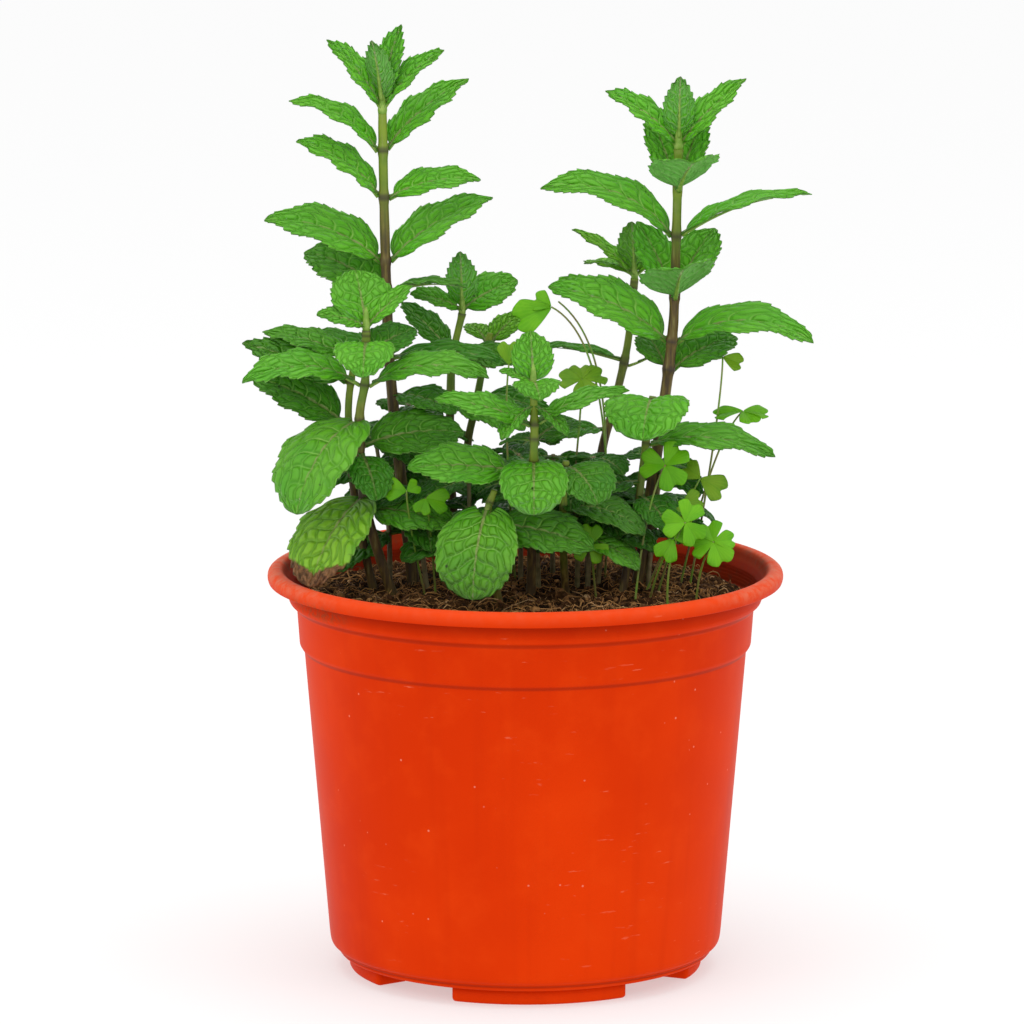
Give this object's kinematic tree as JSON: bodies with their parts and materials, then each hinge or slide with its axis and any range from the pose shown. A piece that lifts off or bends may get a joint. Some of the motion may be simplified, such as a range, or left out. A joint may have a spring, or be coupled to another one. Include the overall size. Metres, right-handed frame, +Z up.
{
  "type": "potted mint plant",
  "caption": "Bushy mint plant with a little wood sorrel, growing in soil in a round orange plastic nursery pot with a rolled rim and short feet.",
  "frame": {"origin": "centre of the circle that the pot's feet stand on, at ground level", "axes": "+Z up along the pot's axis, -Y towards the plant's front, +X to the right seen from the front"},
  "size_m": [0.2433, 0.22, 0.403],
  "materials": {
    "pot": "satin orange moulded plastic, lightly scratched and dusty",
    "soil": "damp dark potting soil with pale fibres",
    "stem": "olive green square stem, browner towards the soil",
    "leaf": "mid green quilted leaf with a soft sheen and paler veins",
    "leaf_dark": "darker shaded green quilted leaf",
    "leaf_old": "yellow-green leaf",
    "sorrel": "bright smooth yellow-green leaflet"
  },
  "bodies": {
    "root": {"pot": "pot", "soil": "soil", "stem_tall_left": "stem", "stem_tall_right": "stem", "stem_back_right": "stem", "stem_back_left": "stem", "stem_back_middle": "stem", "stem_front_left": "stem", "stem_front_middle": "stem", "stem_brown_left": "stem", "stem_low_right": "stem", "stem_low_middle": "stem", "stem_low_front": "stem", "leaves_tall_left_1": "leaf_dark", "leaves_tall_left_2": "leaf", "leaves_tall_left_3": "leaf", "leaves_tall_left_4": "leaf", "tip_tall_left": "leaf", "leaves_tall_right_1": "leaf_dark", "leaf_tall_right_low_left": "leaf", "leaf_tall_right_low_right": "leaf", "leaves_tall_right_3": "leaf", "leaf_tall_right_mid_left": "leaf", "leaf_tall_right_mid_right": "leaf", "leaves_tall_right_5": "leaf", "tip_tall_right": "leaf", "leaves_back_right_1": "leaf_dark", "tip_back_right": "leaf_old", "leaves_back_left_1": "leaf_dark", "tip_back_left": "leaf", "leaves_back_middle": "leaf_old", "tip_front_left": "leaf", "leaf_front_left_fore": "leaf", "leaf_front_left_wide": "leaf", "leaf_front_left_inner": "leaf", "leaf_front_left_big": "leaf", "leaf_front_left_back": "leaf_dark", "leaf_front_left_old": "leaf_old", "leaf_front_left_low": "leaf", "leaves_brown_left_1": "leaf_dark", "leaf_brown_left_mid": "leaf_dark", "leaf_brown_left_low": "leaf_dark", "tip_front_middle": "leaf", "leaf_front_middle_left": "leaf", "leaf_front_middle_right": "leaf", "leaves_front_middle_back": "leaf_dark", "leaf_front_middle_round": "leaf", "leaf_front_middle_wide": "leaf", "leaf_hanging_round": "leaf", "leaf_low_front_right": "leaf_dark", "leaf_low_middle_top": "leaf_dark", "leaves_low_middle_1": "leaf_dark", "leaf_low_middle_front": "leaf", "leaf_low_right_round": "leaf", "leaf_low_right_long": "leaf", "sorrel_right_open": "sorrel", "sorrel_right_front": "sorrel", "sorrel_right_low": "sorrel", "sorrel_right_high": "sorrel", "sorrel_middle_high": "sorrel"}
  },
  "joints": []
}
